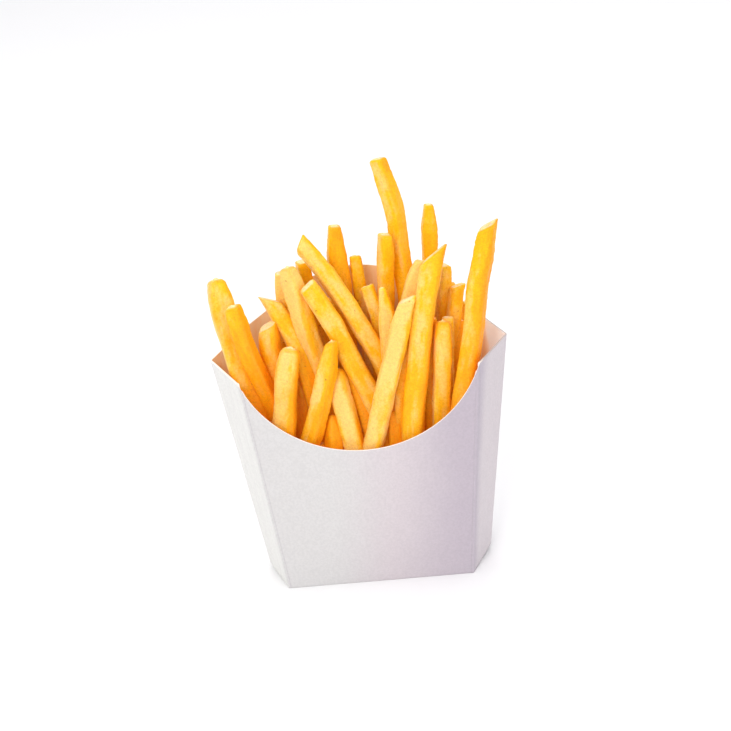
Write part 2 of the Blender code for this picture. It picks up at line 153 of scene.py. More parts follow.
BACK_ROW = {
    "behind_two_faced": ((-24.6, 6, 117.5), (-25.4, 8, 88), (-21, 11, 48), 5.2, 6.0, 0, "square", -0.1),
    "small_back_left": ((-17, 8, 120.5), (-14, 11, 88), (-9, 13, 48), 5.0, 6.0, 20, "square", 0.1),
    "back_right_far": ((42, 9.5, 99), (36.5, 9, 80), (28, 9, 52), 5.4, 5.8, 0, "right", 0.3),
    "tallest": ((13.4, 12, 155), (19, 10.3, 112), (16, 9, 50), 6.4, 5.6, -30, "blunt", 0.4),
    "centre_upright": ((13.6, 5, 129.2), (11.2, 8, 96), (8, 12.5, 50), 5.8, 5.4, 20, "blunt", 0.3),
    "thin_pale": ((1.7, 14, 118.5), (3, 12, 95), (3, 11, 50), 5.0, 5.0, 0, "blunt", 0.1),
    "back_upright": ((-4.2, 10, 132.2), (-4.4, 10.4, 98), (-4, 9.5, 50), 7.2, 6.2, 15, "narrowed", 0.75),
    "back_tapered": ((29.9, 14, 135.5), (28, 14, 105), (23, 13, 50), 5.6, 5.0, 10, "narrowed", 0.6),
    "back_right_tip": ((33.2, 5, 115.5), (30.5, 6.5, 90), (25, 8, 50), 5.4, 5.6, 35, "blunt", 0.0),
    "back_far_right": ((35, 15.5, 104), (34.5, 15.5, 84), (31, 15, 50), 5.4, 5.2, 0, "round", 0.2),
    "back_far_left": ((-29, 13, 83), (-27, 14, 66), (-25, 13.5, 50), 6.8, 6.6, 15, "square", 0.1),
    "back_left": ((-21, 15, 97), (-22, 14.3, 74), (-21, 13.3, 50), 6.6, 6.4, -20, "right", 0.0),
    "back_centre_left": ((-11, 15.3, 103), (-13, 14.3, 76), (-13, 13.3, 50), 6.6, 6.2, 30, "round", -0.2),
    "back_centre_right": ((10, 15.5, 99), (9, 14.6, 76), (10, 13.6, 50), 6.0, 6.0, 0, "left", 0.2),
    "back_right": ((23.5, 15.3, 101), (22, 14.3, 76), (20, 13.3, 50), 6.6, 6.4, -15, "square", 0.1),
}

# Low fries that fill the mouth, by the same rule as the solids
FILL_STEP, FILL_HALF_SPAN, FILL_SPAN_LOSS = 3.9, 42.6, 0.53
FILL_FRONT, FILL_BACK = -11.0, 13.4
FILL_TOP_FRONT, FILL_TOP_BACK = 57.0, 67.0
FILL_TEST_DEPTH, FILL_KEEP_OFF = 6.0, 0.84
FILL_FOOT, FILL_FOOT_SHARE = 38.0, 0.86
FILL_SEED = 7

# How far the seeded draw may move, lengthen, size, lean and turn a low fry
FILL_NUDGE_ACROSS, FILL_NUDGE_DEEP = 1.5, 0.8
FILL_TOP_DRAW, FILL_SIZE_DRAW = (-4.0, 6.0), (6.2, 7.8)
FILL_LEAN, FILL_TURN = 2.0, 45
# The low fries' deeper gold is painted shade, since they stand low among the others
FILL_THICKNESS_SHARE, FILL_SHADE_GOLD = 0.94, 0.35

# Unevenness of a fry, each as amplitude and wavelength: its skin's dents, blisters and chipped edges, the
# rough cut, the bends of its middle line, and how its width, thickness and hollow faces change
DENTS, BLISTERS, EDGE_CHIPS, CUT_ROUGHNESS = (0.09, 11.0), (0.05, 2.0), (0.14, 3.0), (0.12, 1.9)
BEND_ACROSS, BEND_DEEP = (0.22, 34.0), (0.18, 38.0)
WIDTH_CHANGE, THICKNESS_CHANGE, HOLLOW_CHANGE = (0.02, 26.0), (0.02, 23.0), (0.9, 15.0)
BEND_FADE, BEND_AT_TIP = 3, 0.2
LONG_WAVES = 4
WAVELENGTH_SPREAD = (0.7, 1.6)

# A fry's section: how square it is, how hollow its faces are and how much its points crowd to the corners.
# It twists by up to so many degrees about a place along the fry, and is smaller at the foot
SECTION_POWER, FACE_HOLLOW, CORNER_CROWDING = 4.6, 0.04, 0.11
TWIST, TWIST_ABOUT = 10.0, 0.6
FOOT_SHARE = 0.7
FRY_SEED = 3

# A fry's end: where the taper starts, how far down a slanted cut is felt, and the steps over the cut's rim
# and in over its face, with how pale the rim is. Then what is left of the edge's mark on the cut, the last
# bit of the dish, and how late the unevenness dies out where the fry gets thin
LATE_TAPER_FROM = 0.8
SLANT_REACH, SLANT_SPREAD = 6.0, 5.0
RIM_TURNS, RIM_PALENESS = np.radians([22.0, 45.0, 68.0, 90.0]), (0.0, 0.0, 0.4, 1.0)
CUT_RINGS = np.array([0.82, 0.58, 0.3])
CUT_EDGE_SHARE, LAST_OF_DISH, THIN_FROM = 0.2, 0.1, 1.2

# The distance between a fry's points along it, and how many go round it, for standing and for low fries
FRY_STEP, FRY_AROUND = 1.0, 32
LOW_FRY_STEP, LOW_FRY_AROUND = 1.8, 20

# The skin's own coordinates: drawn out along the fry, and moved by a seeded draw within the span
SKIN_STRETCH, SKIN_SPAN = 0.3, 900

# The mark that is positive on a fry's left flank and negative on its right, for painted light and shade:
# the left flank is painted cream as if lit, the right one amber as if in shade. Its shares of the way out
# from the middle and of the way the flat face looks, and how it fades towards the back
FLANK_ROUND, FLANK_FLAT = 0.4, 0.6
FLANK_FADE_START, FLANK_FADE = 0.6, 0.8

# How near another fry has to be for painted shade, in amber, to fall on a fry's skin, how far apart two
# fries are compared, and how many straight pieces a middle line has for that
CLOSE_GAP, CLOSE_REACH = 3.4, 24.0
LINE_PIECES = 6

# The table top, and a distance that is larger than any on the part
TABLE_HALF, TABLE_DROP, TABLE_POINTS = 3000, 0.05, 9
FAR = 1e3

# The photograph's viewpoint, with angles in degrees and places in metres, and the room
CAMERA_RISE, CAMERA_TURN, CAMERA_ROLL = 25.0, 2.52, 6.16
CAMERA_DISTANCE, CAMERA_AIM = 0.650, (0.002, 0.0, 0.081)
CAMERA_SENSOR, CAMERA_LENS = 36.0, 88.1
CAMERA_NEAREST, CAMERA_FARTHEST = 0.01, 20.0
LAMP_AIM_HEIGHT = 0.08
ROOM_COLOUR, ROOM_STRENGTH = (0.97, 0.97, 1.0, 1.0), 0.74


# Shapes shared by the pieces


def ripple(points, wavelength, draw, waves=12):
    """Sine waves in random directions added up: smooth unevenness about as long as the wavelength."""
    ways = draw.normal(size=(waves, points.shape[-1]))
    ways /= np.linalg.norm(ways, axis=1, keepdims=True)
    ways *= 2 * np.pi / (wavelength * draw.uniform(*WAVELENGTH_SPREAD, (waves, 1)))
    return np.sin(points @ ways.T + draw.uniform(0, 2 * np.pi, waves)).sum(-1) / math.sqrt(waves)


def ease(x):
    """0 below 0, 1 above 1, and the smooth cubic between."""
    x = np.clip(x, 0.0, 1.0)
    return x * x * (3 - 2 * x)


def unit(v):
    """Each vector drawn out or in to length 1."""
    return v / np.maximum(np.linalg.norm(v, axis=-1, keepdims=True), 1e-9)


def parabola(tip, bend, foot, t):
    """Points of the parabola that is at the foot at 0, at the bend at a half and at the tip at 1."""
    return foot * (2 * t * t - 3 * t + 1) + bend * (4 * t - 4 * t * t) + tip * (2 * t * t - t)


def tube_faces(rows, around):
    """Quads of a grid that closes round on itself, and fans to a pole before it and one after it.

    The grid's points come first, row by row, then the lower pole and the upper pole."""
    i = np.arange(rows - 1)[:, None] * around
    j = np.arange(around)[None, :]
    k = (j + 1) % around
    quads = np.stack([i + j, i + k, i + around + k, i + around + j], -1).reshape(-1, 4)
    low, high = rows * around, rows * around + 1
    j, k = j[0], k[0]
    last = (rows - 1) * around
    fans = np.concatenate([
        np.stack([np.full(around, low), k, j], -1),
        np.stack([np.full(around, high), last + j, last + k], -1),
    ])
    return quads, fans


def mesh_piece(name, points, quads, fans, materials, marks=None, material_index=None):
    """A smooth mesh object from arrays of points in millimetres, four-sided and three-sided faces."""
    mesh = bpy.data.meshes.new(name)
    mesh.vertices.add(len(points))
    mesh.vertices.foreach_set("co", (points * MM).astype(np.float32).ravel())
    mesh.loops.add(quads.size + fans.size)
    mesh.loops.foreach_set("vertex_index", np.concatenate([quads.ravel(), fans.ravel()]).astype(np.int32))
    mesh.polygons.add(len(quads) + len(fans))
    starts = np.concatenate([np.arange(len(quads)) * 4, quads.size + np.arange(len(fans)) * 3])
    mesh.polygons.foreach_set("loop_start", starts.astype(np.int32))
    mesh.polygons.foreach_set("use_smooth", np.ones(len(starts), bool))
    for material in materials:
        mesh.materials.append(material)
    if material_index is not None:
        mesh.polygons.foreach_set("material_index", material_index.astype(np.int32))
    for mark, values in (marks or {}).items():
        kind, field = ("FLOAT", "value") if values.ndim == 1 else ("FLOAT_VECTOR", "vector")
        mesh.attributes.new(mark, kind, "POINT").data.foreach_set(field, values.astype(np.float32).ravel())
    mesh.update(calc_edges=True)
    mesh.validate()
    made = bpy.data.objects.new(name, mesh)
    bpy.context.scene.collection.objects.link(made)
    return made


# Materials


class Finish:
    """A procedural material: nodes are added one by one, with their inputs set or linked by name."""

    def __init__(self, name, **fixed):
        self.material = bpy.data.materials.new(name)
        self.material.use_nodes = True
        self.tree = self.material.node_tree
        self.shader = self.tree.nodes["Principled BSDF"]
        for socket, value in fixed.items():
            self.shader.inputs[socket.replace("_", " ")].default_value = value
        self.place = self.add("ShaderNodeTexCoord").outputs["Object"]

    def add(self, kind, inputs=None, **settings):
        """A new node, with its inputs linked where an output is given and set where a value is."""
        made = self.tree.nodes.new(kind)
        for key, value in settings.items():
            setattr(made, key, value)
        for socket, value in (inputs or {}).items():
            if isinstance(value, bpy.types.NodeSocket):
                self.tree.links.new(value, made.inputs[socket])
            else:
                made.inputs[socket].default_value = value
        return made

    def noise(self, scale, detail=2.0, roughness=0.5, stretch=None, where=None):
        """Smooth noise between 0 and 1; the scale counts its patches in a metre."""
        where = where or self.place
        if stretch:
            where = self.add("ShaderNodeMapping", {"Vector": where, "Scale": stretch}).outputs[0]
        return self.add("ShaderNodeTexNoise", {
            "Vector": where, "Scale": scale, "Detail": detail, "Roughness": roughness}).outputs["Fac"]

    def mark(self, name):
        """A value that the mesh carries at each point."""
        return self.add("ShaderNodeAttribute", attribute_name=name).outputs["Fac"]

    def spread(self, value, low, high, to_low=0.0, to_high=1.0):
        """The value between low and high, eased and drawn out between two others."""
        return self.add("ShaderNodeMapRange", {
            "Value": value, "From Min": low, "From Max": high, "To Min": to_low, "To Max": to_high,
        }, interpolation_type="SMOOTHSTEP").outputs[0]

    def sum(self, *values, operation="ADD"):
        """All values added up, or joined by another operation."""
        total = values[0]
        for value in values[1:]:
            total = self.add("ShaderNodeMath", {0: total, 1: value}, operation=operation).outputs[0]
        return total

    def times(self, *values):
        """All values multiplied."""
        return self.sum(*values, operation="MULTIPLY")

    def blend(self, share, first, second, how="MIX"):
        """The first colour where the share is 0, the second where it is 1."""
        made = self.add("ShaderNodeMix", {"Factor": share}, data_type="RGBA", blend_type=how)
        for socket, value in ((made.inputs[6], first), (made.inputs[7], second)):
            if isinstance(value, bpy.types.NodeSocket):
                self.tree.links.new(value, socket)
            else:
                socket.default_value = (*value, 1.0)
        return made.outputs[2]

    def set(self, socket, value):
        """Links one input of the surface."""
        self.tree.links.new(value, self.shader.inputs[socket])

    def relief(self, *layers):
        """Bump nodes one after another, each of a height, a strength and a distance in millimetres."""
        normal = None
        for height, strength, distance in layers:
            inputs = {"Height": height, "Strength": strength, "Distance": distance * MM}
            if normal is not None:
                inputs["Normal"] = normal
            normal = self.add("ShaderNodeBump", inputs).outputs[0]
        self.set("Normal", normal)


GOLD, YELLOW, CREAM = (0.985, 0.505, 0.006), (0.985, 0.54, 0.004), (0.985, 0.635, 0.175)
AMBER, EDGE_BROWN = (0.96, 0.335, 0.003), (0.80, 0.36, 0.02)
CRUST, CUT_POTATO = (0.42, 0.17, 0.03), (0.98, 0.78, 0.44)
# Paper colours: the pink and the lavender are painted shade across the front, the strip colour painted light
NEUTRAL_PAPER, HALF_SHADE_PINK_PAPER, SHADE_LAVENDER_PAPER = (0.62, 0.607, 0.603), (0.60, 0.543, 0.566), (0.47, 0.415, 0.47)
LIT_STRIP_PAPER, STREAK_PAPER, CREASE_PAPER = (0.77, 0.765, 0.735), (0.56, 0.53, 0.55), (0.42, 0.38, 0.42)
# Inside board: the tans are painted shade with warm bounce, the lit patch and both glows painted light
SHADE_AND_BOUNCE_TAN_DARK, SHADE_AND_BOUNCE_TAN_LIGHT, STAIN_AND_BOUNCE_TAN = (0.97, 0.66, 0.39), (0.99, 0.75, 0.50), (0.92, 0.55, 0.28)
LIT_PATCH_BOARD = (0.93, 0.90, 0.90)
WARM_BOUNCE_GLOW, LIT_PATCH_GLOW = (1.0, 0.46, 0.22), (0.50, 0.85, 1.0)
# Cut edge colours: the grey is painted shade at the right fold
EDGE_LIGHT, EDGE_DARK, SHADED_EDGE_GREY = (0.98, 0.95, 0.90), (0.93, 0.88, 0.79), (0.50, 0.44, 0.42)

# The painted amber shade just above the scoop follows it: in metres, the scoop rises by about this times
# X squared
SCOOP_RISE = 16.5


def fried_potato():
    """Gold skin with cream streaks, browner edges, small dark specks, pale cut ends and a granular crust.
    Painted light and shade: cream on the left flanks, amber on the right flanks, and amber where fries lie
    close and just above the scoop. A faint glow there and on the right flanks is painted light that stands
    for light that comes through."""
    f = Finish("fried_potato", Roughness=0.5, Subsurface_Weight=0.35, Subsurface_Scale=0.004,
               Subsurface_Radius=(1.0, 0.45, 0.12), Specular_IOR_Level=0.22,
               Emission_Color=(1.0, 0.36, 0.02, 1.0))
    tint, edge, cut, side = f.mark("gold"), f.mark("edge"), f.mark("cut"), f.mark("side")
    along_fry = f.add("ShaderNodeAttribute", attribute_name="skin").outputs["Vector"]
    place = f.add("ShaderNodeSeparateXYZ", {0: f.place}).outputs
    # Painted shade where fries lie close together, stronger lower down in the heap
    close = f.times(f.mark("close"), f.spread(place["Z"], 0.130, 0.085, 0.25, 1.0))
    # Streaks run along each fry; the other noises get finer from patches to grain
    streaks = f.sum(f.times(f.noise(140.0, 2.0, where=along_fry), 0.65),
                    f.times(f.noise(420.0, 2.0, where=along_fry), 0.35))
    patches = f.noise(90.0, 2.0)
    mottle = f.noise(420.0, 3.0, 0.6)
    crumb = f.noise(950.0, 3.0, 0.65)
    grain = f.noise(2200.0, 2.0, 0.6)
    # Painted shade with warm bounce, in amber, just above the scoop, stronger on the left
    scoop_rise = f.times(place["X"], place["X"], -SCOOP_RISE)
    low = f.spread(f.sum(place["Z"], scoop_rise, f.times(patches, 0.02)), 0.098, 0.074, 0.0, 0.6)
    low = f.times(low, f.spread(place["X"], 0.006, -0.022, 0.3, 1.0))
    # How cream and how amber the skin is, then browner edges and pale cuts; painted light makes the left
    # flanks cream and painted shade makes the right flanks amber
    cream = f.sum(f.spread(streaks, 0.39, 0.61, -0.05, 1.0), f.times(tint, -0.9), f.times(side, 0.6))
    cream = f.sum(cream, f.times(edge, -0.3), f.times(close, -0.38), f.times(low, -0.45))
    cream = f.sum(cream, f.times(patches, 0.5), f.times(mottle, 0.8), f.times(crumb, 0.6), -0.78)
    gold = f.blend(f.spread(place["Z"], 0.078, 0.118), GOLD, YELLOW)
    colour = f.blend(f.spread(cream, -0.1, 1.15), gold, CREAM)
    amber = f.sum(f.times(tint, 0.7), f.spread(streaks, 0.5, 0.38, 0.0, 0.3), f.times(side, -0.5))
    amber = f.sum(amber, f.times(low, 0.95), f.spread(place["Z"], 0.09, 0.12, -0.10, -0.22))
    # How much painted shade, in amber, falls where fries lie close: more on the deeper gold fries
    gap_shade_share = f.sum(f.times(tint, 0.25), 0.27)
    amber = f.sum(amber, f.times(close, gap_shade_share), f.times(edge, edge, 0.2))
    colour = f.blend(f.spread(amber, 0.05, 1.2), colour, AMBER)
    ridge = f.times(f.spread(edge, 0.72, 1.0), f.spread(f.noise(60.0, 2.0), 0.40, 0.60), 0.4)
    colour = f.blend(ridge, colour, EDGE_BROWN)
    colour = f.blend(f.times(cut, f.spread(mottle, 0.3, 0.6, 0.45, 0.9)), colour, CUT_POTATO)
    # Small dark specks here and there, and a fine grain over everything
    dots = f.add("ShaderNodeTexVoronoi", {"Vector": f.place, "Scale": 300.0, "Randomness": 1.0})
    rare = f.spread(f.noise(150.0, 1.0), 0.54, 0.66)
    ragged = f.sum(dots.outputs["Distance"], f.times(grain, 0.22))
    speck = f.times(f.spread(ragged, 0.29, 0.15), rare, 0.7)
    colour = f.blend(speck, colour, CRUST)
    fine = f.spread(f.sum(f.times(grain, 0.5), f.times(crumb, 0.5)), 0.36, 0.62, 0.84, 1.07)
    shade = f.add("ShaderNodeCombineColor", {0: fine, 1: fine, 2: fine}).outputs[0]
    colour = f.blend(0.85, colour, shade, "MULTIPLY")
    f.set("Base Color", colour)
    # Painted light: a faint glow where fries lie close and on the shaded right flanks
    f.set("Emission Strength", f.sum(f.times(close, 0.06), f.spread(side, 0.1, -0.8, 0.0, 0.03)))
    f.set("Roughness", f.spread(mottle, 0.3, 0.7, 0.40, 0.62))
    f.relief((mottle, 0.5, 0.35), (crumb, 0.75, 0.24), (grain, 0.4, 0.08))
    return f.material


def coated_board():
    """Pale coated paper with a fine tooth, faint streaks up the side strips and a soft sheen. Painted shade
    runs across the front: neutral on the left, pinker in the middle and lavender round its right crease. The
    left strips are painted lighter, as if lit."""
    f = Finish("coated_board", Roughness=0.42, Specular_IOR_Level=0.4)
    across = f.add("ShaderNodeSeparateXYZ", {0: f.place})
    x, y = across.outputs["X"], across.outputs["Y"]
    drift = f.noise(16.0, 2.0)
    tooth = f.noise(2600.0, 3.0, 0.65)
    cloud = f.noise(240.0, 3.0, 0.6)
    streak = f.noise(420.0, 2.0, 0.6, stretch=(1.0, 1.0, 0.05))
    x = f.sum(x, f.times(drift, 0.022), f.times(cloud, 0.006), -0.014)
    # Painted shade across the front: neutral on the left, pinker in the middle, lavender by the right crease
    colour = f.blend(f.spread(x, -0.018, 0.010), NEUTRAL_PAPER, HALF_SHADE_PINK_PAPER)
    right_crease_shade = f.spread(y, -0.0115, -0.0185)
    colour = f.blend(f.times(f.spread(x, 0.004, 0.038), right_crease_shade), colour, SHADE_LAVENDER_PAPER)
    # Painted light: the left strips lighter, as if lit from the left
    colour = f.blend(f.mark("lit_left_strip"), colour, LIT_STRIP_PAPER)
    streaky = f.times(f.spread(streak, 0.35, 0.65, 0.0, 0.14), f.spread(y, -0.018, -0.014))
    colour = f.blend(streaky, colour, STREAK_PAPER)
    # Painted shade along the pressed lines and the sharp folds
    colour = f.blend(f.times(f.mark("crease"), 0.35), colour, CREASE_PAPER)
    grain = f.spread(f.noise(1100.0, 3.0, 0.65), 0.33, 0.67, 0.94, 1.02)
    shade = f.add("ShaderNodeCombineColor", {0: grain, 1: grain, 2: grain}).outputs[0]
    colour = f.blend(1.0, colour, shade, "MULTIPLY")
    f.set("Base Color", colour)
    f.set("Roughness", f.spread(cloud, 0.3, 0.7, 0.38, 0.5))
    f.relief((cloud, 0.12, 0.12), (tooth, 0.2, 0.05))
    return f.material


def bare_board():
    """Uncoated board inside, with short upright fibres. Its tan is painted shade with warm bounce from the
    fries, in blotches and with a faint warm glow; nearly white beside the right fold, where a painted lit
    patch glows.
    """
    f = Finish("bare_board", Roughness=0.78, IOR=1.45)
    x = f.add("ShaderNodeSeparateXYZ", {0: f.place}).outputs["X"]
    fibres = f.noise(700.0, 3.0, 0.65, stretch=(1.0, 1.0, 0.3))
    blotches = f.noise(45.0, 3.0)
    # Painted shade with warm bounce: the tan; the fibres themselves are the board's own
    colour = f.blend(f.spread(fibres, 0.3, 0.7), SHADE_AND_BOUNCE_TAN_DARK, SHADE_AND_BOUNCE_TAN_LIGHT)
    colour = f.blend(f.spread(blotches, 0.45, 0.72, 0.0, 0.35), colour, STAIN_AND_BOUNCE_TAN)
    # Painted light: a lit patch beside the right fold, nearly white
    pale = f.spread(f.sum(x, f.times(blotches, 0.004)), 0.0472, 0.0502)
    colour = f.blend(pale, colour, LIT_PATCH_BOARD)
    f.set("Base Color", colour)
    # Painted light: a faint warm glow for the bounce, a stronger cool one in the lit patch
    f.set("Emission Color", f.blend(pale, WARM_BOUNCE_GLOW, LIT_PATCH_GLOW))
    f.set("Emission Strength", f.spread(pale, 0.0, 1.0, 0.025, 0.22))
    f.relief((fibres, 0.3, 0.08))
    return f.material


def cut_edge():
    """The cut edge of the board: a cream core of fibres between its two faces, greyer at the right fold,
    where the grey is painted shade.
    """
    f = Finish("cut_edge", Roughness=0.85)
    fibres = f.noise(2400.0, 2.0, 0.6)
    x = f.add("ShaderNodeSeparateXYZ", {0: f.place}).outputs["X"]
    colour = f.blend(f.spread(fibres, 0.3, 0.7), EDGE_LIGHT, EDGE_DARK)
    # Painted shade: the edge greyer at the right fold
    f.set("Base Color", f.blend(f.spread(x, 0.0420, 0.0450), colour, SHADED_EDGE_GREY))
    f.relief((fibres, 0.4, 0.05))
    return f.material


# The carton


def straight(low, high, z, z_low=0.0, z_high=CREASE_TOP):
    """Half-width or half-depth of a straight crease at the height z."""
    return low + (high - low) * (z - z_low) / (z_high - z_low)


def crease_width(z):
    """Half the front's width, from crease to crease, at the height z."""
    return straight(BASE_HALF_WIDTH, CREASE_HALF_WIDTH, z)


def crease_depth(z):
    """How far in front of the middle the front's creases are at the height z."""
    return straight(BASE_HALF_DEPTH, CREASE_HALF_DEPTH, z)


def scoop(x):
    """Height of the front edge: the low part of a circle through both crease tops."""
    sag = CREASE_TOP - SCOOP_LOW
    radius = (CREASE_HALF_WIDTH ** 2 + sag ** 2) / (2 * sag)
    return SCOOP_LOW + radius - np.sqrt(np.maximum(radius ** 2 - x ** 2, 0))


def arch(x):
    """Height of the back edge: a circle over the middle and a straight shoulder on each side."""
    edge = ARCH_RADIUS * math.sin(ARCH_SHOULDER)
    shoulder = ARCH_TOP - ARCH_RADIUS * (1 - math.cos(ARCH_SHOULDER))
    half = crease_width(BACK_CREASE_TOP)
    round_top = ARCH_TOP - ARCH_RADIUS + np.sqrt(np.maximum(ARCH_RADIUS ** 2 - x ** 2, 0))
    slope = BACK_CREASE_TOP + (shoulder - BACK_CREASE_TOP) * (half - np.abs(x)) / (half - edge)
    return np.where(np.abs(x) < edge, round_top, slope)


LOW_CORNERS = np.array([
    (-BASE_HALF_WIDTH, -BASE_HALF_DEPTH, 0), (BASE_HALF_WIDTH, -BASE_HALF_DEPTH, 0),
    (FOLD_LOW_WIDTH, 0, FOLD_LOW), (BASE_HALF_WIDTH, BASE_HALF_DEPTH, 0),
    (-BASE_HALF_WIDTH, BASE_HALF_DEPTH, 0), (-FOLD_LOW_WIDTH, 0, FOLD_LOW),
])
BACK_WIDTH, BACK_DEPTH = crease_width(BACK_CREASE_TOP), crease_depth(BACK_CREASE_TOP)
HIGH_CORNERS = np.array([
    (-CREASE_HALF_WIDTH, -CREASE_HALF_DEPTH, CREASE_TOP), (CREASE_HALF_WIDTH, -CREASE_HALF_DEPTH, CREASE_TOP),
    (FOLD_HIGH_WIDTH, 0, FOLD_HIGH), (BACK_WIDTH, BACK_DEPTH, BACK_CREASE_TOP),
    (-BACK_WIDTH, BACK_DEPTH, BACK_CREASE_TOP), (-FOLD_HIGH_WIDTH, 0, FOLD_HIGH),
])
PANEL_LENGTHS = np.linalg.norm(np.roll(LOW_CORNERS, -1, 0) - LOW_CORNERS, axis=1)
PANEL_STARTS = np.concatenate([[0.0], np.cumsum(PANEL_LENGTHS)])
PERIMETER = PANEL_STARTS[-1]
FRONT, RIGHT_FRONT, RIGHT_BACK, BACK, LEFT_BACK, LEFT_FRONT = range(6)


def around_carton(s):
    """Lower and upper end of the straight line up the board at the distance s round the base.

    Each panel is ruled between its two ends; the front's upper end runs along the scoop, the back's
    along the arch, the strips' along straight edges between the crease tops and the folds."""
    s = np.mod(s, PERIMETER)
    panel = np.clip(np.searchsorted(PANEL_STARTS, s, side="right") - 1, 0, 5)
    share = ((s - PANEL_STARTS[panel]) / PANEL_LENGTHS[panel])[:, None]
    after = (panel + 1) % 6
    low = LOW_CORNERS[panel] * (1 - share) + LOW_CORNERS[after] * share
    high = HIGH_CORNERS[panel] * (1 - share) + HIGH_CORNERS[after] * share
    x = high[:, 0]
    for side, height, sign in ((FRONT, scoop, -1), (BACK, arch, 1)):
        on = panel == side
        z = height(x[on])
        high[on, 2] = z
        high[on, 1] = sign * crease_depth(z)
    return low, high, panel, share[:, 0]


def carton():
    """The board as one closed surface: s runs round the carton, and the other parameter runs from the
    middle of the base out under it, up the outside, over the cut edge, down the inside and back to the
    middle. The walls bulge by a half sine both ways, and each crease is pressed by two thin grooves."""
    draw = np.random.default_rng(BOARD_SEED)
    spots = []
    for panel in range(6):
        steps = WIDE_PANEL_STEPS if panel in (FRONT, BACK) else STRIP_STEPS
        spots.append(PANEL_STARTS[panel] + PANEL_LENGTHS[panel] * np.arange(steps) / steps)
    for start in PANEL_STARTS[:-1]:
        spots.append(start + np.concatenate([-CREASE_STEPS, CREASE_STEPS]))
    s = np.unique(np.round(np.mod(np.concatenate(spots), PERIMETER), 3))
    low, high = 0.0, 0.0
    for nudge, weight in FOLD_WEIGHTS:
        a, b, _, _ = around_carton(s + nudge * FOLD_SOFTNESS)
        low, high = low + weight * a, high + weight * b
    _, _, panel, share = around_carton(s)
    v = WALL_STEPS[:, None]
    wall = low[None] * (1 - v[..., None]) + high[None] * v[..., None]

    def normals(grid):
        round_way = np.roll(grid, -1, 1) - np.roll(grid, 1, 1)
        return unit(np.cross(round_way, np.gradient(grid, axis=0)))

    swell = np.sin(np.pi * share)[None] * np.sin(np.pi * v) ** BULGE_FULLNESS
    height = np.select([panel == FRONT, panel == BACK], [FRONT_BULGE, BACK_BULGE], -STRIP_HOLLOW)
    swell = swell * height[None]
    swell += BOARD_WAVE[0] * ripple(wall, BOARD_WAVE[1], draw) * np.sin(np.pi * v)
    to_crease = np.full(len(s), FAR)
    for at in PANEL_STARTS[[FRONT, RIGHT_FRONT, BACK, LEFT_BACK]]:
        gap = np.abs(s - at)
        to_crease = np.minimum(to_crease, np.minimum(gap, PERIMETER - gap))
    groove = np.exp(-((to_crease - PRESSED_LINE_AT) / PRESSED_LINE_WIDTH) ** 2)
    swell -= PRESSED_LINE_DEPTH * groove[None] * ease(v * PRESSED_LINE_RISE)
    outer = wall + normals(wall) * swell[..., None]
    inner = outer - normals(outer) * BOARD
    front_strip = (panel == RIGHT_FRONT) | (panel == LEFT_FRONT)
    back_strip = (panel == RIGHT_BACK) | (panel == LEFT_BACK)
    in_front = np.minimum(inner[..., 1], -FOLD_INSIDE_GAP)
    behind = np.maximum(inner[..., 1], FOLD_INSIDE_GAP)
    inner[..., 1] = np.where(front_strip[None], in_front, inner[..., 1])
    inner[..., 1] = np.where(back_strip[None], behind, inner[..., 1])
    inner[..., 2] = np.where(v < WALL_FOOT, np.maximum(inner[..., 2], BOARD), inner[..., 2])

    def base(ring, shares, level):
        rows = ring[None] * np.array(shares)[:, None, None]
        rise = (np.abs(rows[..., 0]) - BASE_HALF_WIDTH) / (FOLD_LOW_WIDTH - BASE_HALF_WIDTH)
        rows[..., 2] = level + FOLD_LOW * np.clip(rise, 0, 1)
        return rows

    under = base(outer[0], UNDER_RINGS, 0.0)
    floor = base(inner[0], FLOOR_RINGS, BOARD)
    q = LIP_STEPS[:, None, None]
    lip = outer[-1] * (1 - q) + inner[-1] * q
    lip += unit(outer[-1] - outer[-2])[None] * LIP_ROUNDING * np.sin(np.pi * q)
    rows = np.concatenate([under, outer, lip, inner[::-1], floor])
    around = len(s)
    points = np.concatenate([rows.reshape(-1, 3), [(0, 0, 0), (0, 0, BOARD)]])
    quads, fans = tube_faces(len(rows), around)
    outside, edge = len(under) + len(outer) - 2, len(lip) + 2
    finish = np.repeat(np.arange(len(rows) - 1), around)
    finish = np.select([finish < outside, finish < outside + edge], [0, 1], 2)
    finish = np.concatenate([finish, np.zeros(around), np.full(around, 2)])
    # The mark for painted shade along the pressed lines and the sharp folds
    crease = np.exp(-((to_crease - PRESSED_LINE_AT) / CREASE_SHADE_WIDTH) ** 2)
    for at in PANEL_STARTS[[RIGHT_BACK, LEFT_FRONT]]:
        crease = np.maximum(crease, FOLD_SHADE * np.exp(-((s - at) / FOLD_SHADE_WIDTH) ** 2))
    # The left strips, painted lighter as if lit
    lit_left_strip = ((panel == LEFT_FRONT) | (panel == LEFT_BACK)).astype(float)
    marks = {"crease": crease, "lit_left_strip": lit_left_strip}
    marks = {key: np.concatenate([np.tile(values, len(rows)), [0, 0]]) for key, values in marks.items()}
    return mesh_piece("carton_board", points, quads, fans, [coated_board(), cut_edge(), bare_board()],
                      marks, finish)


# The fries


